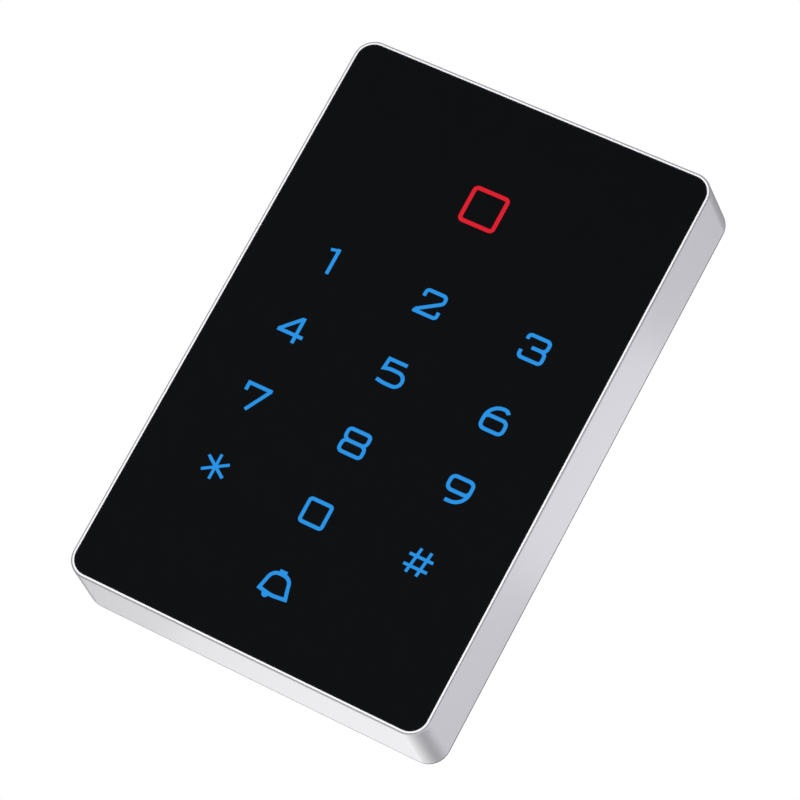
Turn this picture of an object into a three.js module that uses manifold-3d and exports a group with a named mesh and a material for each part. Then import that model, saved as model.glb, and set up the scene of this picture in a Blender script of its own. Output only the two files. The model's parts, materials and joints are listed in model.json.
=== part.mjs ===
// Keypad access reader: a wall-mounted touch keypad and card reader, with its wall plate.
// Millimetres, +Z up. The wall is the plane y = 0 and the reader faces -Y.
// Every depth below is a distance out from the wall, so a point at depth d lies at y = -d.
import * as THREE from 'three';
import { mergeVertices } from 'three/addons/utils/BufferGeometryUtils.js';
import Module from 'manifold-3d';

const wasm = await Module();
wasm.setup();

// ---------------------------------------------------------------- driving dimensions
const FRONT_W = 76;
const FRONT_H = 118;
const FLARE = 0.8; // each side stands this much further out at the wall than at the front
const CORNER = 4.1;
const DEPTH = 17.2; // front lip to wall
const WALL_GAP = 0.35; // rear rim to wall
const SKIN = 2;
const LIP = 0.3; // flat lip beside the panel
const LIP_ROUND = 0.42; // radius of the edge outside the lip
const LIP_FACETS = 3;
const RIM_EDGE = 0.1; // chamfer of the rear rim
const PLAY = 0.08; // between the panel and its pocket
const KEY_PITCH_X = 21.75;
const KEY_PITCH_Z = 15;
const KEY_TOP = 15.46; // height of the first row of keys above the centre
const KEY_MIDDLE = 0.22; // the keypad stands this far right of the centre
const LIFT = 6; // travel that frees the hooks
const GAP = 0.1;

// ---------------------------------------------------------------- layers, as depths
const PLATE = [0, 1.2];
const WALL_SEAL = [0.05, 0.3];
const COVER = [1.6, 3.4];
const GASKET = [3.45, 4.05];
const SEAT = [4.1, 5.3];
const BOARD = [9, 10.6];
const LIGHT_BOX = [10.7, 14.2];
const SENSOR_FILM = [14.25, 14.5];
const LEDGE = [13.6, 14.7];
const GUIDE_SHEET = [14.6, 15.05];
const ADHESIVE = [14.75, 15.15];
const PANEL = [15.2, 17.05];
const FRONT_LIP = DEPTH;

// ---------------------------------------------------------------- worked-out sizes
const LIP_BAND = LIP + LIP_ROUND;
const POCKET_W = FRONT_W - 2 * LIP_BAND;
const POCKET_H = FRONT_H - 2 * LIP_BAND;
const POCKET_R = CORNER - LIP_BAND;
const CAVITY_W = FRONT_W - 2 * SKIN;
const CAVITY_H = FRONT_H - 2 * SKIN;
const CAVITY_R = CORNER - SKIN;
const COVER_W = CAVITY_W + 1;
const COVER_H = CAVITY_H + 1;
const BOARD_W = CAVITY_W - 3;
const BOARD_H = CAVITY_H - 3;
const LEDGE_IN = 4.5; // the ledge reaches this far in from the pocket's wall
const SEAT_IN = 1.1;
const COVER_SCREWS = [[33, 54], [-33, 54], [-33, -54], [33, -54]];
const BOARD_SCREWS = [[31.3, 24], [-31.3, 24], [-31.3, -24], [31.3, -24]];
const BOSS_R = 3.4;
const BOSS_TOP = LEDGE[0] + 0.5; // bosses and posts run into the ledge
const COVER_HOLE = { r: 1.3, end: 12 }; // threaded holes in the housing
const BOARD_HOLE = { r: 1.1, end: 13.6 };
const COVER_PLAY = 0.3;
const POST_W = 8; // each board screw's post reaches the housing's wall
const POST_H = 7;
const POST_OUT = 1.7;
const CORNER_STEPS = 8; // facets in a large corner
const SMALL_STEPS = 3;
const SMALL_RADIUS = 2.9;

// Wall plate and what hangs on it
const PLATE_W = 64;
const PLATE_H = 98;
const HOOKS = [[24, 36], [-24, 36], [-24, -34], [24, -34]];
const HOOK_W = 6;
const HOOK_T = 1.2;
const HOOK_UP = 3.6;
const HOOK_LIP = [3.7, 4.9];
const BOX_SCREW_PITCH = 83.3;
const WALL_SLOT = [4.8, 10];
const PLUNGER_X = 14;
const PLUNGER_Z = 10;
const PLUNGER_TIP = 2.5;
const SOCKET_Z = -22;
const SOCKET_W = 21.9;
const SOCKET_H = 5;
const SOCKET = [3, 8.95];

// ---------------------------------------------------------------- materials
const paint = (color, roughness, metalness = 0) =>
  new THREE.MeshStandardMaterial({ color, roughness, metalness });
const SILVER = paint(0xd9dade, 0.4, 0.8);
const BLACK_GLOSS = paint(0x0d0f11, 0.12);
const BLUE_LIGHT = paint(0x2196f3, 0.4);
const RED_LIGHT = paint(0xe21c2e, 0.4);
const WHITE_FRAME = paint(0xf2f2ee, 0.6);
const GREY_PLASTIC = paint(0xc9cbd0, 0.55);
const BLACK_PLASTIC = paint(0x1b1c1e, 0.55);
const CHIP_BLACK = paint(0x141416, 0.5);
const BOARD_GREEN = paint(0x1d5a38, 0.45);
const COPPER = paint(0xb4683a, 0.35, 1);
const STEEL = paint(0xb9bcc0, 0.35, 1);
const DARK_RUBBER = paint(0x202122, 0.8);
const SEAL_BLACK = paint(0x2a2a2c, 0.8);
const SENSOR_AMBER = paint(0xc08a3c, 0.4);
const ADHESIVE_GREY = paint(0x5a5c60, 0.8);
const LED_WHITE = paint(0xf4efe0, 0.35);

// ---------------------------------------------------------------- shape helpers
// A rounded rectangle's points, anticlockwise as seen from the front.
function roundedRect(w, h, r, x = 0, z = 0) {
  const points = [];
  const corners = [[1, 1], [-1, 1], [-1, -1], [1, -1]];
  const steps = r > SMALL_RADIUS ? CORNER_STEPS : SMALL_STEPS;
  corners.forEach(([sx, sz], i) => {
    for (let k = 0; k <= steps; k++) {
      const angle = (i + k / steps) * Math.PI / 2;
      const across = x + sx * (w / 2 - r) + r * Math.cos(angle);
      const up = z + sz * (h / 2 - r) + r * Math.sin(angle);
      points.push(new THREE.Vector2(across, up));
    }
  });
  return points;
}

function rect(w, h, x = 0, z = 0) {
  const corners = [[1, 1], [-1, 1], [-1, -1], [1, -1]];
  return corners.map(([sx, sz]) => new THREE.Vector2(x + sx * w / 2, z + sz * h / 2));
}

// A flat piece of the given outline between two depths.
function slab(outline, [near, far], holes = []) {
  const shape = new THREE.Shape(outline);
  shape.holes = holes.map((hole) => new THREE.Path(hole));
  const geometry = new THREE.ExtrudeGeometry(shape, { depth: far - near, bevelEnabled: false });
  return geometry.translate(0, 0, near).rotateX(Math.PI / 2);
}

// A closed body through a row of [outline, depth] sections with equal point counts.
function loft(sections) {
  const count = sections[0][0].length;
  const positions = sections.flatMap(([outline, depth]) => outline.flatMap((p) => [p.x, -depth, p.y]));
  const index = [];
  for (let s = 0; s < sections.length - 1; s++) {
    for (let i = 0; i < count; i++) {
      const a = s * count + i;
      const b = s * count + (i + 1) % count;
      index.push(a, b, b + count, a, b + count, a + count);
    }
  }
  const last = (sections.length - 1) * count;
  const cap = THREE.ShapeUtils.triangulateShape(sections[0][0], []);
  cap.forEach(([a, b, c]) => index.push(last + a, last + b, last + c, a, c, b));
  const geometry = new THREE.BufferGeometry();
  geometry.setAttribute('position', new THREE.Float32BufferAttribute(positions, 3));
  return geometry.setIndex(index);
}

function box(w, h, [near, far], x = 0, z = 0) {
  return new THREE.BoxGeometry(w, far - near, h).translate(x, -(near + far) / 2, z);
}

function rod(r, [near, far], x = 0, z = 0, sides = 20) {
  return new THREE.CylinderGeometry(r, r, far - near, sides).translate(x, -(near + far) / 2, z);
}

// A bar along X of the given width: side points are [height, depth].
function bar(side, x, width) {
  const shape = new THREE.Shape(side.map(([z, depth]) => new THREE.Vector2(-depth, z)));
  const turn = new THREE.Matrix4().makeBasis(
    new THREE.Vector3(0, 1, 0), new THREE.Vector3(0, 0, 1), new THREE.Vector3(1, 0, 0));
  const geometry = new THREE.ExtrudeGeometry(shape, { depth: width, bevelEnabled: false });
  return geometry.applyMatrix4(turn).translate(x - width / 2, 0, 0);
}

// A turned piece: profile points are [radius, depth] and the axis runs along the depth.
function turned(profile, x, z, sides = 20) {
  const points = profile.map(([r, depth]) => new THREE.Vector2(r, depth));
  return new THREE.LatheGeometry(points, sides).rotateX(Math.PI).translate(x, 0, z);
}

function solid(shape) {
  if (!shape.isBufferGeometry) return shape;
  const bare = new THREE.BufferGeometry();
  bare.setAttribute('position', shape.attributes.position);
  bare.setIndex(shape.index);
  const merged = mergeVertices(bare, 1e-4);
  const vertProperties = new Float32Array(merged.attributes.position.array);
  const triVerts = new Uint32Array(merged.index.array);
  return new wasm.Manifold(new wasm.Mesh({ numProp: 3, vertProperties, triVerts }));
}

function join(...shapes) {
  return shapes.map(solid).reduce((whole, next) => whole.add(next));
}

function cut(shape, ...tools) {
  return tools.map(solid).reduce((left, tool) => left.subtract(tool), solid(shape));
}

function geometryOf(shape) {
  const { vertProperties, triVerts } = solid(shape).getMesh();
  const geometry = new THREE.BufferGeometry();
  geometry.setAttribute('position', new THREE.Float32BufferAttribute(vertProperties, 3));
  geometry.setIndex(new THREE.Uint32BufferAttribute(triVerts, 1));
  const faceted = geometry.toNonIndexed();
  faceted.computeVertexNormals();
  return faceted;
}

const reader = new THREE.Group();

function piece(name, shape, material) {
  const mesh = new THREE.Mesh(geometryOf(shape), material);
  mesh.name = name;
  reader.add(mesh);
}

// ---------------------------------------------------------------- legends
const STROKE = 0.66;
const THIN = 0.53;
const STATUS_STROKE = 0.76;
const STATUS_Z = 36.38;
const WINDOW_PLAY = 0.05;
const ARC_STEP = 0.6; // longest facet of a stroke's arc
const ARC_TURN = 0.42; // sharpest turn between two facets, in radians
const BRIDGE = [PANEL[0], PANEL[0] + 0.9];
const BRIDGE_W = 0.9;
const [L, R, T, B, M] = [-2.3, 2.3, 2.35, -2.35, 0.05]; // the digits' stroke lines

// A stroke is a list of [x, z, corner radius] points. A loop closes on itself.
const line = (...points) => ({ points });
const thin = (...points) => ({ points, width: THIN });
const loop = (...points) => ({ points, closed: true });
const bowl = (half, low, high, lowR, highR) =>
  loop([half, low, lowR], [half, high, highR], [-half, high, highR], [-half, low, lowR]);

// Where "at" is given, the mark stands that far from its key's centre.
// Each bridge ties a digit's inner island to the panel, behind the visible face.
const LEGENDS = {
  1: { at: [0, -0.08], strokes: [line([0.56, 2.68], [0.56, -2.66]), thin([-1, 2.05], [0.5, 2.37])] },
  2: {
    at: [-0.03, 0.07],
    strokes: [
      line([-2.05, 0.95], [-2.05, T, 0.6], [2.15, T, 0.7], [2.15, 0.85, 0.7], [-2.4, -2.05]),
      line([-2.75, B], [2.1, B, 0.55], [2.1, -1]),
    ],
  },
  3: {
    at: [0.04, 0.07],
    strokes: [
      line([-2.15, 1.35], [-2.15, T, 0.6], [R, T, 0.7], [R, 0.1, 0.95], [-0.6, 0.1]),
      line([L, -0.98], [L, B, 0.65], [R + 0.05, B, 0.7], [R + 0.05, 0.1, 0.95], [0.8, 0.1]),
    ],
  },
  4: {
    strokes: [
      line([1.23, 2.68], [1.23, -2.66]),
      line([-2.69, -1.07], [2.66, -1.07]),
      line([1.05, 2.4], [-2.38, -0.98]),
    ],
    bridges: [[-0.6, -1.07, 90]],
  },
  5: {
    at: [0, -0.04],
    strokes: [
      line([1.75, T], [-2, T], [-2.2, 0.3], [-0.9, 0.6, 3], [R, 0.5, 1.4], [R, B, 1.4], [-0.9, B, 3],
        [-2.48, -2.12]),
    ],
  },
  6: {
    at: [-0.08, -0.12],
    strokes: [
      bowl(R, B, 0.4, 0.95, 0.95),
      line([1.72, 1.85], [1.35, 2.46, 1], [L, 2.4, 2.8], [L, -0.8]),
    ],
    bridges: [[0, B, 90]],
  },
  7: {
    at: [0.07, -0.13],
    strokes: [line([L, 0.8], [L, T], [2.6, T]), line([2.4, 2.38], [-0.58, -2.7])],
  },
  8: {
    at: [-0.07, -0.03],
    strokes: [bowl(R, M, T, 0.95, 0.7), bowl(R + 0.05, B, M, 0.7, 0.95)],
    bridges: [[0, T, 90], [0, B, 90]],
  },
  9: {
    strokes: [
      bowl(R, -0.4, T, 0.95, 0.95),
      line([-1.55, -2.44], [R, -2.44, 2.8], [R, 1]),
    ],
    bridges: [[0, T, 90]],
  },
  star: {
    at: [-0.03, 0.04],
    strokes: [thin([0, 2.52], [0, -2.6]), thin([-2.22, 1.48], [2.27, -1.5]), thin([-2.3, -1.5], [2.33, 1.32])],
  },
  0: { at: [-0.11, 0], strokes: [bowl(R, B, T, 0.5, 0.5)], bridges: [[0, B, 90]] },
  hash: {
    strokes: [
      thin([-0.78, 2.42], [-1.5, -2.64]),
      thin([1.32, 2.38], [0.65, -2.64]),
      thin([-2.45, 0.78], [2.42, 0.78]),
      thin([-2.62, -1.33], [2.22, -1.33]),
    ],
    bridges: [[-0.25, -1.33, 90]],
  },
  bell: {
    at: [-0.1, 0.05],
    strokes: [
      loop([2.8, -1.9], [2.22, 0.1, 3], [1.8, 2.08, 1.7], [-1.9, 2.08, 1.7], [-2.36, 0.1, 3], [-2.8, -1.76],
        [0, -2.25, 6]),
      { points: [[0, 2.1], [0, 2.88]], width: 1.5 },
    ],
    dots: [[-1.2, -2.4, 0.66]],
    bridges: [[0.9, -2.15, 90]],
  },
};
const KEY_NAMES = ['1', '2', '3', '4', '5', '6', '7', '8', '9', 'star', '0', 'hash', null, 'bell'];
const KEYS = KEY_NAMES.map((name, i) => ({
  name,
  x: KEY_MIDDLE + KEY_PITCH_X * (i % 3 - 1),
  z: KEY_TOP - KEY_PITCH_Z * Math.floor(i / 3),
})).filter((key) => key.name);
const STATUS_HALF = 3.5;
const STATUS_MARK = {
  strokes: [{ ...bowl(STATUS_HALF, -STATUS_HALF, STATUS_HALF, 0.7, 0.7), width: STATUS_STROKE }],
  bridges: [[0, -STATUS_HALF, 90]],
};
const CELL_W = 11; // the lit cell behind each legend
const CELL_H = 10;
const FRAME_TOP = STATUS_Z + CELL_H / 2 + 1.6;
const FRAME_LOW = KEY_TOP - 4 * KEY_PITCH_Z - CELL_H / 2 - 1.2;
const FRAME_W = 2 * (KEY_PITCH_X + CELL_W / 2 + 1.3);

// The centre line of a stroke: straight runs joined by arcs of each corner's radius.
function centreLine(points, closed) {
  const path = [];
  points.forEach(([x, z, radius = 0], i) => {
    const corner = new THREE.Vector2(x, z);
    const before = points[(i - 1 + points.length) % points.length];
    const after = points[(i + 1) % points.length];
    const isEnd = !closed && (i === 0 || i === points.length - 1);
    if (isEnd || radius === 0) {
      path.push(corner);
      return;
    }
    const back = new THREE.Vector2(before[0] - x, before[1] - z).normalize();
    const on = new THREE.Vector2(after[0] - x, after[1] - z).normalize();
    const half = Math.acos(back.dot(on)) / 2;
    const middle = back.clone().add(on).normalize();
    const centre = corner.clone().addScaledVector(middle, radius / Math.sin(half));
    const start = corner.clone().addScaledVector(back, radius / Math.tan(half)).sub(centre);
    const sweep = Math.sign(back.cross(on)) * (2 * half - Math.PI);
    const turn = Math.abs(sweep);
    const steps = Math.max(2, Math.round(turn * radius / ARC_STEP), Math.round(turn / ARC_TURN));
    for (let k = 0; k <= steps; k++) {
      path.push(start.clone().rotateAround(new THREE.Vector2(), sweep * k / steps).add(centre));
    }
  });
  return path;
}

// A centre line moved sideways: to its left when the distance is positive.
function offsetLine(path, distance, closed) {
  const heading = (from, to) => to.clone().sub(from).normalize();
  return path.map((point, i) => {
    const last = path.length - 1;
    const into = i > 0 || closed ? heading(path[(i + last) % path.length], point) : heading(point, path[1]);
    const out = i < last || closed ? heading(point, path[(i + 1) % path.length]) : into;
    const normal = into.clone().add(out).normalize().rotateAround(new THREE.Vector2(), Math.PI / 2);
    const mitre = distance / Math.sqrt((1 + into.dot(out)) / 2);
    return point.clone().addScaledVector(normal, mitre);
  });
}

// One stroke as a raised bar. A positive grow makes it wider and longer all round.
function strokeBar({ points, width = STROKE, closed = false }, depths, grow) {
  const path = centreLine(points, closed);
  const side = width / 2 + grow;
  if (closed) {
    return slab(offsetLine(path, -side, true), depths, [offsetLine(path, side, true)]);
  }
  const [first, second] = path;
  const [nearLast, last] = path.slice(-2);
  first.addScaledVector(first.clone().sub(second).normalize(), grow);
  last.addScaledVector(last.clone().sub(nearLast).normalize(), grow);
  return slab([...offsetLine(path, -side), ...offsetLine(path, side).reverse()], depths);
}

function legendBar(legend, x, z, depths, grow = 0) {
  const bars = legend.strokes.map((stroke) => strokeBar(stroke, depths, grow));
  const dots = (legend.dots ?? []).map(([dx, dz, r]) => rod(r + grow, depths, dx, dz, 16));
  return join(...bars, ...dots).translate([x, 0, z]);
}

// The small blocks that tie a legend's islands to the panel.
function bridgeBlocks(legend, x, z, grow = 0) {
  const across = STATUS_STROKE + 2 * WINDOW_PLAY + 0.4;
  const [near, far] = BRIDGE;
  return (legend.bridges ?? []).map(([dx, dz, degrees]) => {
    const block = box(across, BRIDGE_W + 2 * grow, [near - grow, far + grow]);
    return block.rotateY(degrees * Math.PI / 180).translate(x + dx, 0, z + dz);
  });
}

const MARKS = [
  ...KEYS.map(({ name, x, z }) => {
    const legend = LEGENDS[name];
    const [right, up] = legend.at ?? [0, 0];
    return { legend, x: x + right, z: z + up };
  }),
  { legend: STATUS_MARK, x: KEY_MIDDLE + 0.1, z: STATUS_Z },
];

// ---------------------------------------------------------------- housing
function outerSection(depth, inset = 0) {
  const out = 2 * FLARE * (FRONT_LIP - depth) / (FRONT_LIP - WALL_GAP);
  return [roundedRect(FRONT_W + out - 2 * inset, FRONT_H + out - 2 * inset, CORNER - inset), depth];
}

// The round edge outside the lip, from the side to the front face.
function lipSections() {
  const sections = [];
  for (let k = 0; k <= LIP_FACETS; k++) {
    const turn = Math.PI / 2 * k / LIP_FACETS;
    const inset = LIP_ROUND * (1 - Math.cos(turn));
    sections.push(outerSection(FRONT_LIP - LIP_ROUND * (1 - Math.sin(turn)), inset));
  }
  return sections;
}

function frontHousing() {
  const rim = [outerSection(WALL_GAP, RIM_EDGE), outerSection(WALL_GAP + RIM_EDGE)];
  const shell = loft([...rim, ...lipSections()]);
  const pocket = slab(roundedRect(POCKET_W, POCKET_H, POCKET_R), [LEDGE[1], FRONT_LIP + 1]);
  const windowOutline = roundedRect(POCKET_W - 2 * LEDGE_IN, POCKET_H - 2 * LEDGE_IN, 2);
  const ledgeWindow = slab(windowOutline, [LEDGE[0] - 1, LEDGE[1] + 1]);
  const cavity = slab(roundedRect(CAVITY_W, CAVITY_H, CAVITY_R), [SEAT[1], LEDGE[0]]);
  const seatOutline = roundedRect(CAVITY_W - 2 * SEAT_IN, CAVITY_H - 2 * SEAT_IN, CAVITY_R);
  const seatWindow = slab(seatOutline, [0, SEAT[1] + 1]);
  const coverOutline = roundedRect(COVER_W + COVER_PLAY, COVER_H + COVER_PLAY, CAVITY_R + 0.5);
  const coverPocket = slab(coverOutline, [0, SEAT[0]]);
  const shellCut = cut(shell, pocket, ledgeWindow, cavity, seatWindow, coverPocket);
  const bossDepths = [SEAT[0], BOSS_TOP];
  const bosses = COVER_SCREWS.flatMap(([x, z]) => [
    rod(BOSS_R, bossDepths, x, z),
    box(BOSS_R, BOSS_R, bossDepths, x + Math.sign(x) * BOSS_R / 2, z + Math.sign(z) * BOSS_R / 2),
  ]);
  const postDepths = [BOARD[1] + GAP, BOSS_TOP];
  const posts = BOARD_SCREWS.map(([x, z]) => box(POST_W, POST_H, postDepths, x + Math.sign(x) * POST_OUT, z));
  const coverHoles = COVER_SCREWS.map(([x, z]) => rod(COVER_HOLE.r, [SEAT[0] - 1, COVER_HOLE.end], x, z, 12));
  const boardHoles = BOARD_SCREWS.map(([x, z]) => rod(BOARD_HOLE.r, [BOARD[1], BOARD_HOLE.end], x, z, 12));
  return cut(join(shellCut, ...bosses, ...posts), ...coverHoles, ...boardHoles);
}

function touchPanel() {
  const chamfer = 0.12;
  const w = POCKET_W - 2 * PLAY;
  const h = POCKET_H - 2 * PLAY;
  const r = POCKET_R - PLAY;
  const sheet = loft([
    [roundedRect(w, h, r), PANEL[0]],
    [roundedRect(w, h, r), PANEL[1] - chamfer],
    [roundedRect(w - 2 * chamfer, h - 2 * chamfer, r - chamfer), PANEL[1]],
  ]);
  const through = [PANEL[0] - 1, PANEL[1] + 1];
  const windows = MARKS.map(({ legend, x, z }) => legendBar(legend, x, z, through, WINDOW_PLAY));
  const bridges = MARKS.flatMap(({ legend, x, z }) => bridgeBlocks(legend, x, z));
  return join(cut(sheet, ...windows), ...bridges);
}

function lightGuide(marks, sheet) {
  const raised = [GUIDE_SHEET[0] + 0.1, PANEL[1] - 0.02];
  const bars = marks.map(({ legend, x, z }) => legendBar(legend, x, z, raised));
  const notches = marks.flatMap(({ legend, x, z }) => bridgeBlocks(legend, x, z, WINDOW_PLAY));
  return cut(join(sheet, ...bars), ...notches);
}

function legendGuide() {
  const top = STATUS_Z - CELL_H / 2 - 0.6;
  const outline = roundedRect(FRAME_W, top - FRAME_LOW, 1.5, 0, (top + FRAME_LOW) / 2);
  return lightGuide(MARKS.slice(0, -1), slab(outline, GUIDE_SHEET));
}

function statusGuide() {
  const outline = roundedRect(CELL_W + 1, CELL_H, 1, KEY_MIDDLE, STATUS_Z);
  return lightGuide(MARKS.slice(-1), slab(outline, GUIDE_SHEET));
}

function panelAdhesive() {
  const outer = roundedRect(POCKET_W - 0.6, POCKET_H - 0.6, POCKET_R - 0.3);
  const inner = roundedRect(POCKET_W - 2 * LEDGE_IN + 1, POCKET_H - 2 * LEDGE_IN + 1, 2.5);
  return slab(outer, ADHESIVE, [inner]);
}

// ---------------------------------------------------------------- lighting and sensing layers

// A plate with one square window for each key and one for the status mark.
function windowedPlate([near, far]) {
  const outline = roundedRect(FRAME_W, FRAME_TOP - FRAME_LOW, 2, 0, (FRAME_TOP + FRAME_LOW) / 2);
  const cells = MARKS.map(({ x, z }) => box(CELL_W, CELL_H, [near - 1, far + 1], x, z));
  return cut(slab(outline, [near, far]), ...cells);
}

function ledBody(x, z) {
  const [near, far] = [BOARD[1] + 0.05, BOARD[1] + 1.45];
  const body = loft([
    [rect(3.4, 2.8, x, z), near],
    [rect(3.4, 2.8, x, z), far - 0.3],
    [rect(2.8, 2.2, x, z), far],
  ]);
  return cut(body, rod(0.85, [far - 0.35, far + 1], x, z, 12));
}

// ---------------------------------------------------------------- main board and its parts
const BOARD_FRONT = BOARD[1] + 0.05;
const BOARD_BACK = BOARD[0] - 0.05;

function mainBoard() {
  const outline = roundedRect(BOARD_W, BOARD_H, 1);
  const notches = COVER_SCREWS.map(([x, z]) => box(9, 9, [BOARD[0] - 1, BOARD[1] + 1], x, z));
  const holes = BOARD_SCREWS.map(([x, z]) => rod(1.3, [BOARD[0] - 1, BOARD[1] + 1], x, z, 12));
  return cut(slab(outline, BOARD), ...notches, ...holes);
}

function antennaCoil() {
  const outline = roundedRect(54, 10, 2.5, 0, 48.8);
  const inner = roundedRect(49, 5, 1, 0, 48.8);
  return slab(outline, [BOARD_FRONT, BOARD_FRONT + 0.4], [inner]);
}

function chip(w, h, thickness, x, z) {
  const top = BOARD_BACK - thickness;
  const inset = 1.1; // the dimple that marks pin one, in from two edges
  const body = box(w, h, [top, BOARD_BACK - 0.1], x, z);
  const pinRow = box(w + 1.2, h - 1, [BOARD_BACK - 0.5, BOARD_BACK], x, z);
  const dimple = rod(0.45, [top - 1, top + 0.2], x - w / 2 + inset, z + h / 2 - inset, 10);
  return cut(join(body, pinRow), dimple);
}

function relay() {
  const body = box(10, 6.5, [BOARD_BACK - 5, BOARD_BACK], 22, -6);
  const vent = rod(0.6, [BOARD_BACK - 6, BOARD_BACK - 4.6], 25, -4.5, 10);
  return cut(body, vent);
}

function buzzer() {
  const body = rod(6, [BOARD_BACK - 4, BOARD_BACK], -14, 22, 32);
  return cut(body, rod(1.1, [BOARD_BACK - 5, BOARD_BACK - 2.4], -14, 22, 16));
}

function capacitor() {
  const base = box(6.6, 6.6, [BOARD_BACK - 0.9, BOARD_BACK], -23, -8);
  const can = rod(3.15, [BOARD_BACK - 5.2, BOARD_BACK - 0.5], -23, -8, 24);
  return join(base, can);
}

function cableSocket() {
  const wall = 0.8;
  const pins = 10;
  const pitch = 2;
  const floor = SOCKET[0] + 4.4;
  const body = box(SOCKET_W, SOCKET_H, SOCKET, 0, SOCKET_Z);
  const hollow = box(SOCKET_W - 2 * wall, SOCKET_H - 2 * wall, [SOCKET[0] - 1, floor], 0, SOCKET_Z);
  const keyWay = box(4, wall + 1, [SOCKET[0] - 1, SOCKET[0] + 3], 0, SOCKET_Z + SOCKET_H / 2);
  const rows = [...Array(pins).keys()].map((i) => (i - (pins - 1) / 2) * pitch);
  const blades = rows.map((x) => box(0.5, 0.5, [SOCKET[0] + 1, floor + 0.5], x, SOCKET_Z));
  return join(cut(body, hollow, keyWay), ...blades);
}

function socketSeal() {
  const outer = roundedRect(SOCKET_W + 3.2, SOCKET_H + 3.2, 1.2, 0, SOCKET_Z);
  const inner = roundedRect(SOCKET_W + 0.3, SOCKET_H + 0.3, 0.3, 0, SOCKET_Z);
  return slab(outer, [COVER[1] + 0.05, COVER[1] + 1.6], [inner]);
}

// ---------------------------------------------------------------- tamper switch
const SWITCH = [6, 8.95];
const SPRING_R = 1.8;
const WIRE_R = 0.17;
const FLANGE = [5.2, 5.8];

function tamperSwitch() {
  const body = box(6.4, 6.4, SWITCH, PLUNGER_X, PLUNGER_Z);
  return cut(body, rod(2.3, [SWITCH[0] - 1, SWITCH[0] + 2.2], PLUNGER_X, PLUNGER_Z));
}

function tamperPlunger() {
  const r = 1.4;
  const tip = PLUNGER_TIP;
  return turned([
    [0, tip], [r * 0.5, tip + 0.12], [r * 0.87, tip + 0.5], [r, tip + 1],
    [r, FLANGE[0]], [2.1, FLANGE[0]], [2.1, FLANGE[1]],
    [0.9, FLANGE[1]], [0.9, SWITCH[0] + 1.2], [0, SWITCH[0] + 1.2],
  ], PLUNGER_X, PLUNGER_Z, 14);
}

class SpringLine extends THREE.Curve {
  constructor(radius, near, far, turns) {
    super();
    Object.assign(this, { radius, near, far, turns });
  }

  getPoint(t) {
    const angle = t * this.turns * 2 * Math.PI;
    const depth = this.near + (this.far - this.near) * t;
    return new THREE.Vector3(this.radius * Math.cos(angle), -depth, this.radius * Math.sin(angle));
  }
}

function tamperSpring() {
  const turns = 4;
  const near = FLANGE[1] + WIRE_R + GAP;
  const far = SWITCH[0] + 2.2 - WIRE_R - GAP;
  const round = new THREE.Shape().absarc(0, 0, WIRE_R, 0, 2 * Math.PI);
  const extrudePath = new SpringLine(SPRING_R, near, far, turns);
  const options = { steps: turns * 10, curveSegments: 3, bevelEnabled: false, extrudePath };
  return new THREE.ExtrudeGeometry(round, options).translate(PLUNGER_X, 0, PLUNGER_Z);
}

// ---------------------------------------------------------------- rear cover and screws
const HOOK_ROOM = 1; // each side of a hook
const POCKET_FLOOR = 5.4;
const SLOT_LOW = LIFT + HOOK_T + 0.4;

function hookPocket(x, z) {
  const w = HOOK_W + 2 * HOOK_ROOM;
  const top = z + HOOK_UP + 0.5;
  const low = z - SLOT_LOW;
  const middle = (top + low) / 2;
  return {
    shell: box(w + 2.4, top - low + 2.4, [COVER[1] - 0.5, POCKET_FLOOR + 1], x, middle),
    room: box(w, top - low, [COVER[1], POCKET_FLOOR], x, middle),
    slot: box(w, z + GAP - low, [COVER[0] - 1, COVER[1] + 1], x, (z + GAP + low) / 2),
  };
}

function rearCover() {
  const plate = slab(roundedRect(COVER_W, COVER_H, CAVITY_R + 0.2), COVER);
  const pockets = HOOKS.map(([x, z]) => hookPocket(x, z));
  const rampRoom = [COVER[0] - 1, 2.7];
  const rampShell = box(8, 21, [COVER[1] - 0.5, 3.8], PLUNGER_X, PLUNGER_Z - 1);
  const rampChannel = box(6, 18, rampRoom, PLUNGER_X, PLUNGER_Z - 1);
  const plungerHole = rod(1.5, [COVER[0] - 1, 5], PLUNGER_X, PLUNGER_Z);
  const socketHole = slab(roundedRect(SOCKET_W + 1, SOCKET_H + 1, 0.6, 0, SOCKET_Z), [0, 5]);
  const screwHoles = COVER_SCREWS.flatMap(([x, z]) => [
    rod(1.5, [0, 5], x, z, 12),
    rod(2.6, [0, COVER[0] + 1], x, z, 20),
  ]);
  const screwHeadRooms = [1, -1].map((side) => {
    const z = side * BOX_SCREW_PITCH / 2 - LIFT / 2;
    return slab(roundedRect(10, 17 + LIFT, 4.9, 0, z), [0, COVER[0] + 1]);
  });
  const shells = join(plate, rampShell, ...pockets.map((pocket) => pocket.shell));
  const rooms = pockets.flatMap(({ room, slot }) => [room, slot]);
  return cut(shells, ...rooms, rampChannel, plungerHole, socketHole, ...screwHoles, ...screwHeadRooms);
}

function rearGasket() {
  const outer = roundedRect(COVER_W - 0.4, COVER_H - 0.4, CAVITY_R);
  const inner = roundedRect(COVER_W - 2.8, COVER_H - 2.8, CAVITY_R - 0.8);
  return slab(outer, GASKET, [inner]);
}

// A pan-head screw driven from the back, with a cross recess.
function screw(x, z, headDepth, headR, headT, shankR, length) {
  const under = headDepth + headT;
  const body = turned([
    [0, headDepth], [headR * 0.8, headDepth], [headR, headDepth + headT * 0.4], [headR, under],
    [shankR, under], [shankR, under + length - 0.6], [shankR * 0.5, under + length], [0, under + length],
  ], x, z, 12);
  const recess = [headDepth - 1, headDepth + headT * 0.6];
  const arm = headR * 1.1;
  return cut(body, box(arm, headR * 0.3, recess, x, z), box(headR * 0.3, arm, recess, x, z));
}

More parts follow.
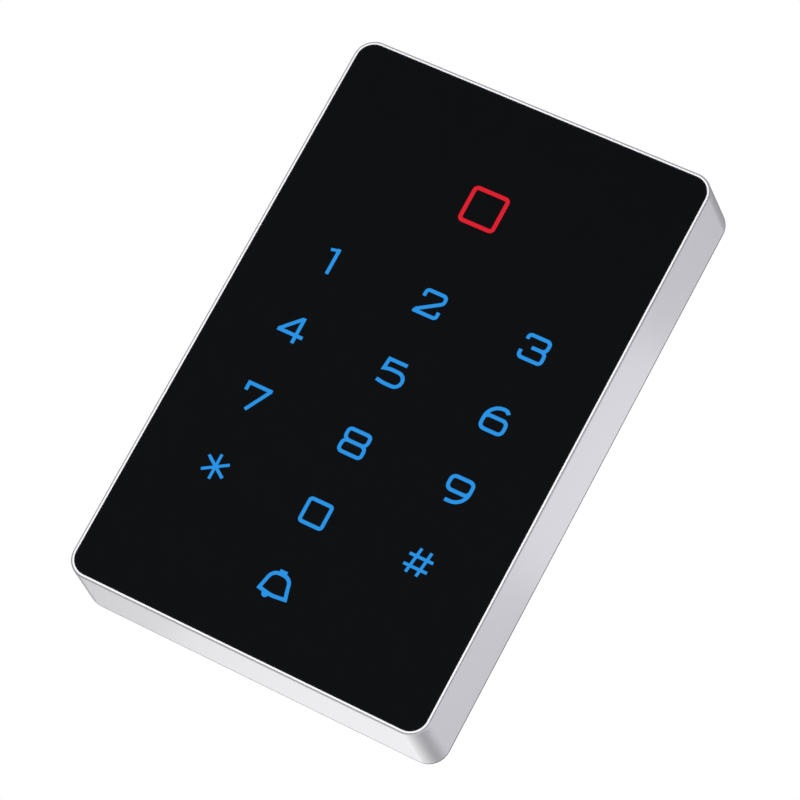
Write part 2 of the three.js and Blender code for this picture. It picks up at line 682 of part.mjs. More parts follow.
const SEAL_INSIDE = 2.4;

// The thin rubber ring that closes the gap between the housing's rear rim and the wall.
function wallSeal() {
  const out = 2 * (FLARE - GAP / 10);
  const outer = roundedRect(FRONT_W + out, FRONT_H + out, CORNER);
  const inner = roundedRect(FRONT_W - SEAL_INSIDE, FRONT_H - SEAL_INSIDE, CORNER - SEAL_INSIDE / 2);
  return slab(outer, WALL_SEAL, [inner]);
}

// ---------------------------------------------------------------- wall plate
function wallPlate() {
  const sheet = slab(roundedRect(PLATE_W, PLATE_H, 5), PLATE);
  const cableHole = slab(roundedRect(30, 20, 3, 0, SOCKET_Z + LIFT / 2), [-1, 2]);
  const slots = [1, -1].map((side) =>
    slab(roundedRect(...WALL_SLOT, WALL_SLOT[0] / 2 - 0.01, 0, side * BOX_SCREW_PITCH / 2), [-1, 2]));
  const cornerHoles = [[27, 20], [-27, 20], [-27, -16], [27, -16]].map(([x, z]) =>
    rod(2.2, [-1, 2], x, z, 16));
  const lanceHoles = HOOKS.map(([x, z]) => box(HOOK_W + 1, 8, [-1, 2], x, z - HOOK_T - 4));
  const hooks = HOOKS.flatMap(([x, z]) => [
    box(HOOK_W, HOOK_T, [PLATE[1] - 0.5, HOOK_LIP[1]], x, z - HOOK_T / 2),
    box(HOOK_W, HOOK_UP + HOOK_T, HOOK_LIP, x, z + (HOOK_UP - HOOK_T) / 2),
  ]);
  const root = PLATE[1] - 0.4;
  const top = PLUNGER_TIP - GAP;
  const ramp = bar([
    [PLUNGER_Z - 2.5, root], [PLUNGER_Z + LIFT, root], [PLUNGER_Z + LIFT, PLATE[1]],
    [PLUNGER_Z, top], [PLUNGER_Z - 2.5, top],
  ], PLUNGER_X, 4);
  return join(cut(sheet, cableHole, ...slots, ...cornerHoles, ...lanceHoles), ...hooks, ramp);
}

// ---------------------------------------------------------------- assembly
piece('wall_plate', wallPlate(), STEEL);
piece('front_housing', frontHousing(), SILVER);
piece('touch_panel', touchPanel(), BLACK_GLOSS);
piece('panel_adhesive', panelAdhesive(), ADHESIVE_GREY);
piece('legend_light_guide', legendGuide(), BLUE_LIGHT);
piece('status_light_guide', statusGuide(), RED_LIGHT);
piece('touch_sensor_film', windowedPlate(SENSOR_FILM), SENSOR_AMBER);
piece('light_box_frame', windowedPlate(LIGHT_BOX), WHITE_FRAME);

piece('main_board', mainBoard(), BOARD_GREEN);
KEYS.forEach(({ name, x, z }) => piece(`key_led_${name}`, ledBody(x, z), LED_WHITE));
piece('status_led', ledBody(KEY_MIDDLE, STATUS_Z), LED_WHITE);
piece('antenna_coil', antennaCoil(), COPPER);
piece('microcontroller', chip(7, 7, 1.1, 2, 8), CHIP_BLACK);
piece('touch_controller', chip(6, 9, 1.2, 24, 10), CHIP_BLACK);
piece('rfid_chip', chip(5, 5, 1, -4, 36), CHIP_BLACK);
piece('voltage_regulator', chip(6.4, 3.6, 1.6, -12, -8), CHIP_BLACK);
piece('relay', relay(), BLACK_PLASTIC);
piece('buzzer', buzzer(), BLACK_PLASTIC);
piece('capacitor', capacitor(), STEEL);
piece('cable_socket', cableSocket(), WHITE_FRAME);
piece('socket_seal', socketSeal(), DARK_RUBBER);
piece('tamper_switch', tamperSwitch(), BLACK_PLASTIC);
piece('tamper_spring', tamperSpring(), STEEL);
piece('tamper_plunger', tamperPlunger(), GREY_PLASTIC);

BOARD_SCREWS.forEach(([x, z], i) => {
  piece(`board_screw_${i + 1}`, screw(x, z, BOARD_BACK - 1.1, 2, 1.1, 0.95, 4.2), STEEL);
});
piece('rear_gasket', rearGasket(), DARK_RUBBER);
piece('wall_seal', wallSeal(), SEAL_BLACK);
piece('rear_cover', rearCover(), GREY_PLASTIC);
COVER_SCREWS.forEach(([x, z], i) => {
  piece(`cover_screw_${i + 1}`, screw(x, z, COVER[0] + 0.1, 2.4, 0.85, 1.15, 8), STEEL);
});

export default reader;
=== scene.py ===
"""Looks of the keypad access reader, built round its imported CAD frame. Metres, +Z up, the wall at y = 0."""
import json
import math

import bmesh
import bpy
from mathutils import Matrix, Vector


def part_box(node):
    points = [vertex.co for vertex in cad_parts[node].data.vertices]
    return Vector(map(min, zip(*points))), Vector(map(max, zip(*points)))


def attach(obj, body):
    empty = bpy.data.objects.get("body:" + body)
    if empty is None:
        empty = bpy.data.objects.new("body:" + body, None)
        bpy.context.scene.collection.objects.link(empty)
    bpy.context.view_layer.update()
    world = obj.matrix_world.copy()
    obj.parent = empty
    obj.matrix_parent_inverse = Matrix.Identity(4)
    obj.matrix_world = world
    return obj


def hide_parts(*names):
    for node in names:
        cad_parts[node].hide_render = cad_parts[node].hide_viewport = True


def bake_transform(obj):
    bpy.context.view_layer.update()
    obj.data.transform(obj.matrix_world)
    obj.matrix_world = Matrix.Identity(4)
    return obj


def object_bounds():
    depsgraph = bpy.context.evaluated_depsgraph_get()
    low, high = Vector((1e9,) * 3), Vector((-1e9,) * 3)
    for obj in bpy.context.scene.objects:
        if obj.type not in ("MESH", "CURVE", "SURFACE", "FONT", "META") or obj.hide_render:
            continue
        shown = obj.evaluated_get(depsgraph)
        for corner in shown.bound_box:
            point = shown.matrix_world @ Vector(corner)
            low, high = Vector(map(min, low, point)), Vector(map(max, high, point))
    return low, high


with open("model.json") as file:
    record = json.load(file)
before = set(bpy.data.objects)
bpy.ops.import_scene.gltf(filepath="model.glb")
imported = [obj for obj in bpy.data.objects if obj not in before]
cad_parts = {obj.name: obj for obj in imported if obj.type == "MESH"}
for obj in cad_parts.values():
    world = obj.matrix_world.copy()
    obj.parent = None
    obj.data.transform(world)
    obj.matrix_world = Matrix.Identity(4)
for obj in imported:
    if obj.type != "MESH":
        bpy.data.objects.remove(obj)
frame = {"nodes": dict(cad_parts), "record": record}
CAD_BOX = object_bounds()
NODES = frame["nodes"]
RECORD = frame["record"]
SLOT_OF = {row["node"]: row["material_slot"] for row in RECORD["subparts"]}
BODY_OF = {node: body for body, nodes in RECORD["behaviour"]["bodies"].items() for node in nodes}
MM = 0.001

# ---------------------------------------------------------------- sizes
# The housing's section
FLARE = 0.8 * MM  # how far the sides lean out towards the wall
CORNER = 4.1 * MM
LIP = 0.30 * MM  # the flat bright front of the rim
EDGE_R = 0.36 * MM  # the round between the lip and the side
RIM_EDGE = 0.1 * MM
SKIN = 2.0 * MM
LEDGE_IN = 4.5 * MM
WINDOW_CORNER = 2.0 * MM
SEAT_IN = 1.1 * MM
COVER_POCKET_IN = 1.35 * MM
COVER_POCKET_CORNER = 2.6 * MM
CORNER_STEPS = 20
EDGE_STEPS = 8
EASE = 0.06 * MM  # how much the section's other corners are rounded off
EASE_STEPS = 3

# Angles between faces, in degrees
FLAT_ANGLE = 0.5  # up to here two CAD faces are one flat face
SHARP_ANGLE = 32  # from here an edge is shaded hard
BROKEN_ANGLE = 40  # from here an edge is broken

# The bosses and posts inside the housing, and their holes
HAIR = 0.01 * MM
INTO_LEDGE = 0.5 * MM
BOSS_R = 3.4 * MM
POST = (4.0 * MM, 3.5 * MM)  # half width and half height of a board screw's post
POST_CORNER = 0.6 * MM
POST_OUT = 1.7 * MM
POST_GAP = 0.1 * MM  # between a post and the board
COVER_HOLE = (1.3 * MM, 12.0 * MM)  # radius of a threaded hole, and the depth where it ends
BOARD_HOLE = (1.1 * MM, 13.6 * MM)

# Broken edges of the pieces that keep their CAD shape
PANEL_EDGE = 0.03 * MM
SHEET_EDGE = 0.12 * MM
SOCKET_EDGE = 0.06 * MM

# Screws: radius and thickness of the head, and radius of the shank
COVER_SCREW = (2.4 * MM, 0.85 * MM, 1.15 * MM)
BOARD_SCREW = (2.0 * MM, 1.1 * MM, 0.95 * MM)
THREAD_PITCH = 0.6 * MM
ROOT, TIP = 0.8, 0.35  # radius at the thread's root and at the tip, as shares of the shank's
DOME = 0.55  # height of the dome as a share of the head's thickness
HEAD_EDGE = 0.1 * MM
RECESS = (0.55, 0.13)  # half length and half width of each arm, as shares of the head's radius
RECESS_DEPTH = 0.75  # as a share of the head's thickness
RECESS_TAPER = (1.1, 0.6)  # from the mouth to the bottom

# Tamper plunger and spring
FLANGE = (5.2 * MM, 5.8 * MM)
STEM_R = 1.4 * MM
FLANGE_R = 2.1 * MM
PIN_R = 0.9 * MM
PLUNGER_EDGE = 0.08 * MM
WIRE_R = 0.16 * MM
SPRING_TURNS = 4

# Depths out from the wall
WALL_GAP = 0.35 * MM
SEAT = (4.1 * MM, 5.3 * MM)
LEDGE = (13.6 * MM, 14.7 * MM)
BOARD_FRONT = 10.6 * MM


# ---------------------------------------------------------------- camera, lights and backdrop
CAMERA_ANGLES = (19.164, -12.780, 28.687)  # azimuth, elevation and roll, in degrees
CAMERA_DISTANCE = 0.6250793
CAMERA_AIM = (3.92 * MM, -3.67 * MM)  # X and Z of the point on the front that it looks at
LENS = 153.07


def make_camera():
    azimuth, elevation, roll = (math.radians(a) for a in CAMERA_ANGLES)
    forward = Vector((-math.sin(azimuth) * math.cos(elevation),
                      math.cos(azimuth) * math.cos(elevation),
                      -math.sin(elevation)))
    level = forward.cross(Vector((0, 0, 1))).normalized()
    upright = level.cross(forward)
    right = level * math.cos(roll) + upright * math.sin(roll)
    up = upright * math.cos(roll) - level * math.sin(roll)
    aim = Vector((CAMERA_AIM[0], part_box("front_housing")[0].y, CAMERA_AIM[1]))
    data = bpy.data.cameras.new("camera")
    data.lens = LENS
    camera = bpy.data.objects.new("camera", data)
    turn = Matrix((right, up, -forward)).transposed().to_4x4()
    camera.matrix_world = Matrix.Translation(aim - forward * CAMERA_DISTANCE) @ turn
    bpy.context.scene.collection.objects.link(camera)
    bpy.context.scene.camera = camera


class Net:
    """A node tree with short calls for adding and joining nodes."""

    def __init__(self, tree):
        self.tree = tree
        tree.nodes.clear()

    def add(self, kind, inputs=None, **settings):
        node = self.tree.nodes.new("ShaderNode" + kind)
        for key, value in settings.items():
            setattr(node, key, value)
        for key, value in (inputs or {}).items():
            if isinstance(value, bpy.types.NodeSocket):
                self.tree.links.new(value, node.inputs[key])
            else:
                node.inputs[key].default_value = value
        return node

    def value(self, kind, inputs=None, **settings):
        return self.add(kind, inputs, **settings).outputs[0]

    def math(self, operation, a, b=0.0):
        return self.value("Math", {0: a, 1: b}, operation=operation)

    def spread(self, value, low, high, to_low, to_high, smooth=False):
        kind = "SMOOTHSTEP" if smooth else "LINEAR"
        places = {"Value": value, "From Min": low, "From Max": high, "To Min": to_low, "To Max": to_high}
        return self.value("MapRange", places, interpolation_type=kind)

    def ramp(self, factor, *stops):
        node = self.add("ValToRGB", {"Fac": factor})
        elements = node.color_ramp.elements
        while len(elements) < len(stops):
            elements.new(1.0)
        for element, (place, colour) in zip(elements, stops):
            element.position = place
            element.color = (*colour, 1.0)
        return node.outputs[0]


# Brightness of what the object reflects
FRONT_DARK = 0.05
SIDE_LEVEL = 0.75
BACK_DARK = 0.38
LOW_BRIGHT = 1.74  # behind, on the dark band's lower left
HIGH_BRIGHT = 1.06  # behind, on its upper right
COOL = (0.965, 0.960, 1.0)  # tint of what the right side reflects
LEFT_SHADE = 0.28  # share of the light that is left on the left side
TOP_SHADE = 0.5  # and on the top

# Where it changes, along one axis of the direction that is reflected
FRONT_TO_SIDE = (-0.88, -0.45)  # Y
SIDE_TO_BACK = (0.3, 0.7)  # Y
BAND_AXIS = (0.81, 0.0, 0.59)  # the dark band behind the object runs across this direction
BAND_MIDDLE = 0.14
BAND_REACH = (0.9, 0.45)  # how far the band fades out, below its middle and above
LOW_TO_HIGH = (-0.1, 0.2)  # along BAND_AXIS
LEFT_EDGE = (-0.5, -0.22)  # X
LEFT_DEEPENS = (-0.7, -0.2)  # Y
TOP_EDGE = (0.2, 0.42)  # Z

FRONT_FILL = dict(direction=(-0.24, -0.95, 0.15), distance=1.0, size=0.8, power=3.7)
SIDE_GLOW = dict(direction=(0.32, 0.92, 0.22), distance=0.12, size=0.06, power=0.003)
UNDER_GLOW = dict(direction=(-0.32, 0.92, -0.22), distance=0.12, size=0.07, power=0.0027)
SIDE_GLOW_UP = 4 * MM  # the side glow's place above the middle of the right side
UNDER_GLOW_RIGHT = 18 * MM  # the under glow's place to the right of the underside's middle

FLOOR_HALF = 2.5
FLOOR_LEVEL = -0.8
FLOOR_SUN = 2.3
FLOOR_SUN_ANGLE = 0.6


def make_world():
    """White to the eye. The object reflects a dark front and a bright back, with one dark band across."""
    world = bpy.data.worlds.new("studio")
    bpy.context.scene.world = world
    world.use_nodes = True
    net = Net(world.node_tree)
    direction = net.add("TexCoord").outputs["Generated"]
    parts = net.add("SeparateXYZ", {0: direction}).outputs
    along = net.add("VectorMath", {0: direction, 1: BAND_AXIS}, operation="DOT_PRODUCT").outputs["Value"]
    below, above = BAND_REACH
    off_band = net.math("MAXIMUM", net.spread(along, BAND_MIDDLE - below, BAND_MIDDLE, 1.0, 0.0),
                        net.spread(along, BAND_MIDDLE, BAND_MIDDLE + above, 0.0, 1.0))
    bright = net.spread(along, *LOW_TO_HIGH, LOW_BRIGHT, HIGH_BRIGHT, smooth=True)
    back = net.spread(off_band, 0.0, 1.0, BACK_DARK, bright, smooth=True)
    front = net.spread(parts["Y"], *FRONT_TO_SIDE, FRONT_DARK, SIDE_LEVEL, smooth=True)
    behind = net.spread(parts["Y"], *SIDE_TO_BACK, 0.0, 1.0, smooth=True)
    light = net.add("Mix", {0: behind, 2: front, 3: back}, data_type="FLOAT").outputs[0]
    deepest = net.spread(parts["Y"], *LEFT_DEEPENS, 1.0, LEFT_SHADE, smooth=True)
    left_shade = net.spread(parts["X"], *LEFT_EDGE, deepest, 1.0, smooth=True)
    top_shade = net.spread(parts["Z"], *TOP_EDGE, 1.0, TOP_SHADE, smooth=True)
    light = net.math("MULTIPLY", light, net.math("MINIMUM", left_shade, top_shade))
    seen = net.add("LightPath").outputs["Is Camera Ray"]
    strength = net.add("Mix", {0: seen, 2: light, 3: 1.0}, data_type="FLOAT").outputs[0]
    coolness = net.math("SUBTRACT", net.spread(along, *LOW_TO_HIGH, 0.0, 1.0), seen)
    tint = net.ramp(coolness, (0.0, (1, 1, 1)), (1.0, COOL))
    background = net.value("Background", {"Color": tint, "Strength": strength})
    net.add("OutputWorld", {"Surface": background})


def light_only(light, things):
    """The light reaches these things and nothing else."""
    lit = bpy.data.collections.new(light.name + "_lit")
    bpy.context.scene.collection.children.link(lit)
    for thing in things:
        lit.objects.link(thing)
    light.light_linking.receiver_collection = lit


def area_light(name, middle, only, direction, distance, size, power):
    """A square light that looks at a point from the given direction."""
    data = bpy.data.lights.new(name, "AREA")
    data.shape = "SQUARE"
    data.size = size
    data.energy = power
    light = bpy.data.objects.new(name, data)
    towards = Vector(direction).normalized()
    light.location = middle + towards * distance
    light.rotation_mode = "QUATERNION"
    light.rotation_quaternion = towards.to_track_quat("Z", "Y")
    light.visible_camera = False
    bpy.context.scene.collection.objects.link(light)
    light_only(light, only)


def make_floor():
    """It is seen, but it throws no light on the object. Its own light reaches nothing else."""
    mesh = bpy.data.meshes.new("floor")
    signs = ((-1, -1), (1, -1), (1, 1), (-1, 1))
    corners = [(sx * FLOOR_HALF, sy * FLOOR_HALF, FLOOR_LEVEL) for sx, sy in signs]
    mesh.from_pydata(corners, [], [(0, 1, 2, 3)])
    floor = bpy.data.objects.new("floor", mesh)
    bpy.context.scene.collection.objects.link(floor)
    mesh.materials.append(finish("floor_paper", (0.9, 0.9, 0.9), roughness=0.9, grain=2.0))
    floor.visible_glossy = False
    floor.visible_diffuse = False
    data = bpy.data.lights.new("floor_light", "SUN")
    data.energy = FLOOR_SUN
    data.angle = FLOOR_SUN_ANGLE
    sun = bpy.data.objects.new("floor_light", data)
    bpy.context.scene.collection.objects.link(sun)
    light_only(sun, [floor])


# ---------------------------------------------------------------- materials
CLOUD = 14 * MM  # size of the soft cloudiness
FINE_SHARE = 0.65  # the fine grain's share of the mix, against the cloudiness
NOISE = (0.3, 0.7)  # the part of the mix's range that counts
GLOW_CHANGE = 0.03


def finish(name, base, metallic=0.0, roughness=0.5, grain=0.3, change=0.04, rough_change=0.05, relief=0.0,
           stretch=(1, 1, 1), glow=None, **sockets):
    """A material whose colour and roughness follow a fine grain and a soft cloudiness.

    The sizes of grain and relief are in millimetres.
    """
    material = bpy.data.materials.new(name)
    material.use_nodes = True
    net = Net(material.node_tree)
    place = net.add("TexCoord").outputs["Object"]
    stretched = net.value("Mapping", {"Vector": place, "Scale": stretch})
    fine = net.value("TexNoise", {"Vector": stretched, "Scale": 1 / (grain * MM), "Detail": 3.0})
    cloud = net.value("TexNoise", {"Vector": place, "Scale": 1 / CLOUD, "Detail": 2.0})
    mixed = net.math("ADD", net.math("MULTIPLY", fine, FINE_SHARE),
                     net.math("MULTIPLY", cloud, 1 - FINE_SHARE))
    level = net.spread(mixed, *NOISE, 0.0, 1.0)
    low, high = ([c * share for c in base] for share in (1 - change, 1 + change))
    shader = net.add("BsdfPrincipled", {
        "Base Color": net.ramp(level, (0.0, low), (1.0, high)),
        "Metallic": metallic,
        "Roughness": net.spread(level, 0.0, 1.0, roughness - rough_change, roughness + rough_change),
        **sockets,
    })
    if relief:
        bump = net.value("Bump", {"Distance": relief * MM, "Height": fine})
        net.tree.links.new(bump, shader.inputs["Normal"])
    if glow:
        low, high = ([c * share for c in glow] for share in (1 - GLOW_CHANGE, 1 + GLOW_CHANGE))
        net.tree.links.new(net.ramp(level, (0.0, low), (1.0, high)), shader.inputs["Emission Color"])
        shader.inputs["Emission Strength"].default_value = 1.0
    net.add("OutputMaterial", {"Surface": shader.outputs[0]})
    return material


FINISHES = {
    "silver_housing": dict(base=(0.80, 0.795, 0.825), metallic=0.7, roughness=0.33, rough_change=0.03,
                           grain=0.16, relief=0.0007),
    "black_panel": dict(base=(0.0199, 0.0224, 0.0270), roughness=0.1, rough_change=0.02, grain=3.0),
    "adhesive_film": dict(base=(0.10, 0.11, 0.12), roughness=0.85, grain=0.4, relief=0.01),
    "blue_light": dict(base=(0.001, 0.01, 0.03), roughness=0.35, grain=0.6, glow=(0.0215, 0.284, 0.760)),
    "red_light": dict(base=(0.03, 0.001, 0.001), roughness=0.35, grain=0.6, glow=(0.70, 0.0121, 0.0273)),
    "sensor_film": dict(base=(0.52, 0.25, 0.05), roughness=0.25, grain=0.5),
    "white_frame": dict(base=(0.86, 0.86, 0.83), roughness=0.55, grain=0.3, relief=0.004),
    "board_green": dict(base=(0.012, 0.10, 0.04), roughness=0.32, grain=0.5, change=0.15, relief=0.004),
    "led_body": dict(base=(0.88, 0.84, 0.72), roughness=0.3, grain=0.4),
    "copper_trace": dict(base=(0.48, 0.15, 0.05), metallic=1.0, roughness=0.35, grain=0.3, stretch=(1, 1, 8)),
    "chip_black": dict(base=(0.008, 0.008, 0.009), roughness=0.5, grain=0.15, relief=0.004),
    "black_plastic": dict(base=(0.012, 0.012, 0.013), roughness=0.5, grain=0.25, relief=0.006),
    "can_aluminium": dict(base=(0.60, 0.61, 0.63), metallic=1.0, roughness=0.3, grain=0.3, stretch=(1, 8, 1)),
    "socket_plastic": dict(base=(0.84, 0.82, 0.75), roughness=0.45, grain=0.3, relief=0.003),
    "rubber_black": dict(base=(0.015, 0.015, 0.016), roughness=0.8, grain=0.2, relief=0.006),
    "seal_rubber": dict(base=(0.03, 0.03, 0.032), roughness=0.7, grain=0.2, relief=0.004),
    "spring_steel": dict(base=(0.50, 0.51, 0.53), metallic=1.0, roughness=0.28, grain=0.1),
    "grey_plastic": dict(base=(0.30, 0.305, 0.32), roughness=0.55, grain=0.22, relief=0.012),
    "screw_steel": dict(base=(0.52, 0.53, 0.55), metallic=1.0, roughness=0.3, grain=0.15),
    "steel_plate": dict(base=(0.56, 0.56, 0.57), metallic=1.0, roughness=0.32, grain=0.25, relief=0.002,
                        stretch=(1, 1, 0.03)),
}


# ---------------------------------------------------------------- mesh helpers
def outline(half_w, half_h, radius, steps=CORNER_STEPS):
    """A rounded rectangle's points (x, z), anticlockwise as seen from the front."""
    points = []
    for i, (sx, sz) in enumerate(((1, 1), (-1, 1), (-1, -1), (1, -1))):
        for k in range(steps + 1):
            angle = (i + k / steps) * math.pi / 2
            x = sx * (half_w - radius) + radius * math.cos(angle)
            z = sz * (half_h - radius) + radius * math.sin(angle)
            points.append((x, z))
    return points


def circle(x, z, radius, steps=32):
    turns = (2 * math.pi * k / steps for k in range(steps))
    return [(x + radius * math.cos(a), z + radius * math.sin(a)) for a in turns]


def eased(profile, amount):
    """A closed profile with each corner rounded off by about amount, as EASE_STEPS + 1 points."""
    corners = [Vector(p) for p in profile]
    rounded = []
    for i, corner in enumerate(corners):
        before, after = corners[i - 1] - corner, corners[(i + 1) % len(corners)] - corner
        reach = min(amount, 0.4 * before.length, 0.4 * after.length)
        start, end = corner + before.normalized() * reach, corner + after.normalized() * reach
        for k in range(EASE_STEPS + 1):
            t = k / EASE_STEPS
            rounded.append(start * (1 - t) ** 2 + corner * 2 * t * (1 - t) + end * t ** 2)
    return rounded


def mesh_object(name, mesh):
    thing = bpy.data.objects.new(name, mesh)
    bpy.context.scene.collection.objects.link(thing)
    return thing


def from_rings(name, rings, closed):
    """A body whose surface runs through rings of points. It closes on itself, or its ends are capped."""
    bm = bmesh.new()
    made = [[bm.verts.new(p) for p in ring] for ring in rings]
    pairs = list(zip(made, made[1:] + made[:1])) if closed else list(zip(made, made[1:]))
    for ring, following in pairs:
        for i in range(len(ring)):
            j = (i + 1) % len(ring)
            bm.faces.new((ring[i], ring[j], following[j], following[i]))
    if not closed:
        bm.faces.new(made[0])
        bm.faces.new(made[-1])
    bmesh.ops.recalc_face_normals(bm, faces=bm.faces)
    mesh = bpy.data.meshes.new(name)
    bm.to_mesh(mesh)
    bm.free()
    return mesh_object(name, mesh)


def prism(name, points, near, far):
    """The outline as a solid between two depths out from the wall."""
    return from_rings(name, [[(x, -depth, z) for x, z in points] for depth in (near, far)], closed=False)


def turned(name, x, z, profile, steps=40):
    """A solid of revolution about an axis along Y: profile points are (radius, depth)."""
    rings = []
    for radius, depth in profile:
        rings.append([(px, -depth, pz) for px, pz in circle(x, z, radius, steps)])
    return from_rings(name, rings, closed=False)


def apply_modifiers(thing):
    shaped = thing.evaluated_get(bpy.context.evaluated_depsgraph_get())
    mesh = bpy.data.meshes.new_from_object(shaped)
    old = thing.data
    thing.modifiers.clear()
    thing.data = mesh
    bpy.data.meshes.remove(old)


def combine(thing, operation, *tools):
    for tool in tools:
        modifier = thing.modifiers.new(operation.lower(), "BOOLEAN")
        modifier.operation = operation
        modifier.solver = "EXACT"
        modifier.object = tool
    apply_modifiers(thing)
    for tool in tools:
        bpy.data.objects.remove(tool)


def smooth(thing):
    """Rounded shading that stays flat on the flat faces."""
    for face in thing.data.polygons:
        face.use_smooth = True
    thing.data.set_sharp_from_angle(angle=math.radians(SHARP_ANGLE))
    modifier = thing.modifiers.new("normals", "WEIGHTED_NORMAL")
    modifier.keep_sharp = True
    modifier.weight = 100
    apply_modifiers(thing)


def place(thing, node):
    """The piece rides with the CAD node that it stands for, and takes its material slot."""
    slot = SLOT_OF[node]
    thing.data.materials.clear()
    thing.data.materials.append(MATERIALS[slot])
    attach(thing, BODY_OF[node])
    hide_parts(node)
    return thing


def refined(name, node, edge=0.0):
    """A CAD node's own shape with its flat faces whole and, given an edge's width, its edges broken."""
    bm = bmesh.new()
    bm.from_mesh(NODES[node].data)
    bmesh.ops.remove_doubles(bm, verts=bm.verts, dist=1e-7)
    bmesh.ops.dissolve_limit(bm, angle_limit=math.radians(FLAT_ANGLE), verts=bm.verts, edges=bm.edges)
    mesh = bpy.data.meshes.new(name)
    bm.to_mesh(mesh)
    bm.free()
    normals = mesh.attributes.get("custom_normal")
    if normals:
        mesh.attributes.remove(normals)
    thing = mesh_object(name, mesh)
    if edge:
        bevel = thing.modifiers.new("bevel", "BEVEL")
        bevel.width = edge
        bevel.segments = 2
        bevel.limit_method = "ANGLE"
        bevel.angle_limit = math.radians(BROKEN_ANGLE)
    apply_modifiers(thing)
    smooth(thing)
    place(thing, node)


# ---------------------------------------------------------------- housing
def housing_profile():
    """The shell's section as (reach out from the front outline, corner radius, depth out from the wall)."""
    front = -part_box("front_housing")[0].y
    rear_out = FLARE * (front - WALL_GAP - RIM_EDGE) / (front - WALL_GAP)
    pocket = -LIP - EDGE_R
    window = pocket - LEDGE_IN
    cavity = -SKIN
    seat = cavity - SEAT_IN
    edge = []
    for k in range(EDGE_STEPS + 1):
        turn = math.pi / 2 * k / EDGE_STEPS
        inset = EDGE_R * (1 - math.cos(turn))
        depth = front - EDGE_R * (1 - math.sin(turn))
        edge.append((FLARE * (front - depth) / (front - WALL_GAP) - inset, CORNER - inset, depth))
    return edge, [
        (pocket, CORNER + pocket, front),
        (pocket, CORNER + pocket, LEDGE[1]),
        (window, WINDOW_CORNER, LEDGE[1]),
        (window, WINDOW_CORNER, LEDGE[0]),
        (cavity, CORNER + cavity, LEDGE[0]),
        (cavity, CORNER + cavity, SEAT[1]),
        (seat, CORNER + cavity, SEAT[1]),
        (seat, CORNER + cavity, SEAT[0]),
        (-COVER_POCKET_IN, COVER_POCKET_CORNER, SEAT[0]),
        (-COVER_POCKET_IN, COVER_POCKET_CORNER, WALL_GAP),
        (FLARE - RIM_EDGE, CORNER - RIM_EDGE, WALL_GAP),
        (rear_out, CORNER, WALL_GAP + RIM_EDGE),
    ]


def boss_outline(x, z):
    """A round boss whose outer quarter is squared off into the housing's corner."""
    sx, sz = math.copysign(1, x), math.copysign(1, z)
    steps = 24
    turns = (math.pi / 2 * (1 + 3 * k / steps) for k in range(steps + 1))
    arc = [(x + sx * BOSS_R * math.cos(a), z + sz * BOSS_R * math.sin(a)) for a in turns]
    return arc + [(x + sx * BOSS_R, z + sz * BOSS_R)]


def screw_places(kind):
    """The middles of the four screws of one kind, from their CAD nodes."""
    middles = []
    for i in range(1, 5):
        low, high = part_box(f"{kind}_{i}")
        middles.append(((low.x + high.x) / 2, (low.z + high.z) / 2))
    return middles


def make_housing():
    """The shell, with bosses for the cover screws and posts for the board screws."""
    edge, rest = housing_profile()
    per_corner = EASE_STEPS + 1
    inner = eased([edge[-1], *rest, edge[0]], EASE)[per_corner:-per_corner]
    widest = rest[-1][0]
    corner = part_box("front_housing")[1]
    half_w, half_h = corner.x - widest, corner.z - widest
    rings = []
    for reach, radius, depth in [*edge, *inner]:
        points = outline(half_w + reach, half_h + reach, radius)
        rings.append([(x, -depth, z) for x, z in points])
    shell = from_rings("housing_shell", rings, closed=True)
    inside = LEDGE[0] + INTO_LEDGE
    added, holes = [], []
    for x, z in screw_places("cover_screw"):
        added.append(prism("boss", boss_outline(x, z), SEAT[0] + HAIR, inside))
        holes.append(prism("hole", circle(x, z, COVER_HOLE[0]), SEAT[0] - MM, COVER_HOLE[1]))
    for x, z in screw_places("board_screw"):
        out = math.copysign(POST_OUT, x)
        post = [(x + out + px, z + pz) for px, pz in outline(*POST, POST_CORNER, 5)]
        added.append(prism("post", post, BOARD_FRONT + POST_GAP, inside))
        holes.append(prism("hole", circle(x, z, BOARD_HOLE[0]), BOARD_FRONT, BOARD_HOLE[1]))
    combine(shell, "UNION", *added)
    combine(shell, "DIFFERENCE", *holes)
    smooth(shell)
    return place(shell, "front_housing")


# ---------------------------------------------------------------- screws, plunger and spring
def make_screw(node, head_r, head_t, shank_r):
    """A domed head with a cross recess on a threaded shank, as long as its CAD node."""
    low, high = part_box(node)
    x, z = (low.x + high.x) / 2, (low.z + high.z) / 2
    top, end = -high.y, -low.y
    under = top + head_t
    root = shank_r * ROOT
    dome = [(head_r * math.sin(a), top + DOME * head_t * (1 - math.cos(a)))
            for a in (math.pi / 2 * k / 8 for k in range(1, 9))]
    thread, depth = [], under + THREAD_PITCH
    while depth < end - 3 * THREAD_PITCH:
        thread += [(root, depth), (shank_r, depth + THREAD_PITCH / 2)]
        depth += THREAD_PITCH
    profile = [*dome, (head_r, under - HEAD_EDGE), (head_r - HEAD_EDGE, under), (root, under), *thread,
               (root, depth), (shank_r * TIP, end)]
    screw = turned(node + "_cut", x, z, profile, steps=32)
    reach, half = (head_r * share for share in RECESS)
    mouth, bottom = RECESS_TAPER
    arms = []
    for w, h in ((reach, half), (half, reach)):
        rings = []
        for share, level in ((mouth, top - 0.1 * MM), (bottom, top + RECESS_DEPTH * head_t)):
            points = outline(w * share, h * share, 0.3 * half, 3)
            rings.append([(x + px, -level, z + pz) for px, pz in points])
        arms.append(from_rings("arm", rings, closed=False))
    combine(screw, "DIFFERENCE", *arms)
    smooth(screw)
    place(screw, node)


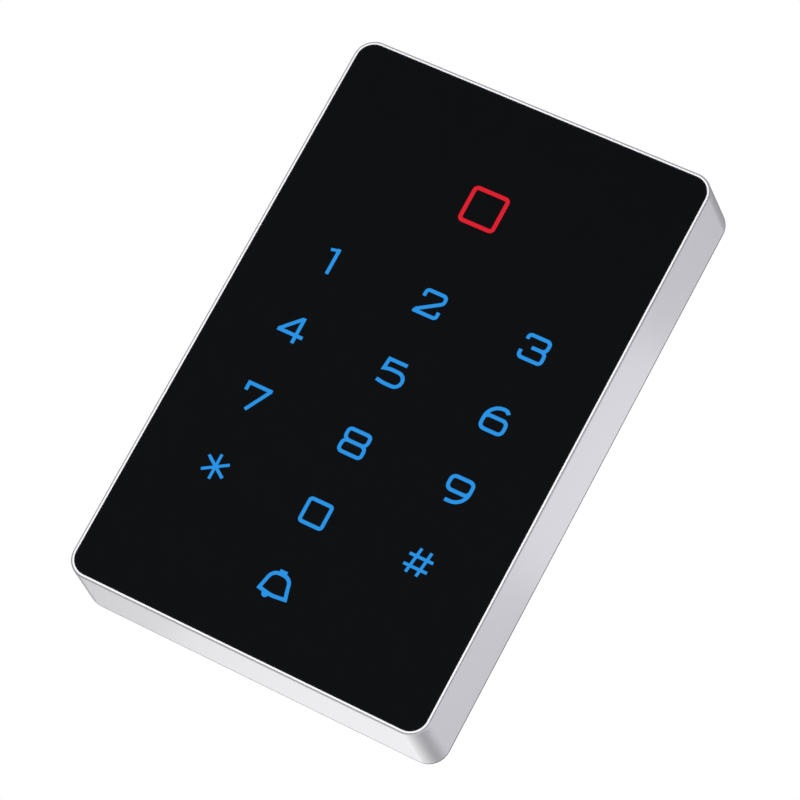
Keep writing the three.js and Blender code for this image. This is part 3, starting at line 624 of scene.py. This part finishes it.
def make_plunger():
    low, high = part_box("tamper_plunger")
    x, z = (low.x + high.x) / 2, (low.z + high.z) / 2
    tip, end = -high.y, -low.y
    turns = (math.pi / 2 * k / 10 for k in range(1, 11))
    ball = [(STEM_R * math.sin(a), tip + MM * (1 - math.cos(a))) for a in turns]
    soft = PLUNGER_EDGE
    near, far = FLANGE
    profile = [*ball, (STEM_R, near), (FLANGE_R - soft, near), (FLANGE_R, near + soft),
               (FLANGE_R, far - soft), (FLANGE_R - soft, far), (PIN_R, far), (PIN_R, end - soft),
               (PIN_R - soft, end)]
    plunger = turned("plunger_body", x, z, profile)
    smooth(plunger)
    place(plunger, "tamper_plunger")


def make_spring():
    """A fine coil from the plunger's flange to the switch, where they stand at rest."""
    low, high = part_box("tamper_spring")
    x, z = (low.x + high.x) / 2, (low.z + high.z) / 2
    steps, sides = SPRING_TURNS * 28, 8
    radius = (high.x - low.x) / 2 - WIRE_R
    near, far = -high.y + WIRE_R, -low.y - WIRE_R
    rings = []
    for k in range(steps + 1):
        share = k / steps
        angle = 2 * math.pi * SPRING_TURNS * share
        out = Vector((math.cos(angle), 0, math.sin(angle)))
        middle = Vector((x, -(near + (far - near) * share), z)) + out * radius
        across = (math.tau * i / sides for i in range(sides))
        rings.append([middle + out * WIRE_R * math.cos(a) + Vector((0, WIRE_R * math.sin(a), 0))
                      for a in across])
    spring = from_rings("spring_coil", rings, closed=False)
    smooth(spring)
    spring.data.materials.clear()
    spring.data.materials.append(MATERIALS["spring_steel"])
    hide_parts("tamper_spring")
    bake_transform(spring)


# ---------------------------------------------------------------- making
bpy.context.scene.view_settings.view_transform = "Standard"
make_camera()
make_world()
MATERIALS = {slot: finish(slot, **look) for slot, look in FINISHES.items()}
make_floor()
for node, thing in NODES.items():
    thing.material_slots[0].material = MATERIALS[SLOT_OF[node]]
housing = make_housing()
refined("panel_sheet", "touch_panel", PANEL_EDGE)
refined("plate_sheet", "wall_plate", SHEET_EDGE)
refined("cover_moulding", "rear_cover", SHEET_EDGE)
refined("socket_body", "cable_socket", SOCKET_EDGE)
refined("seal_ring", "wall_seal")
for i in range(1, 5):
    make_screw(f"cover_screw_{i}", *COVER_SCREW)
    make_screw(f"board_screw_{i}", *BOARD_SCREW)
make_plunger()
make_spring()

centre = (CAD_BOX[0] + CAD_BOX[1]) / 2
right_side = Vector((CAD_BOX[1].x, centre.y, centre.z + SIDE_GLOW_UP))
underside = Vector((centre.x + UNDER_GLOW_RIGHT, centre.y, CAD_BOX[0].z))
area_light("front_fill", centre, [housing], **FRONT_FILL)
area_light("side_glow", right_side, [housing], **SIDE_GLOW)
area_light("under_glow", underside, [housing], **UNDER_GLOW)
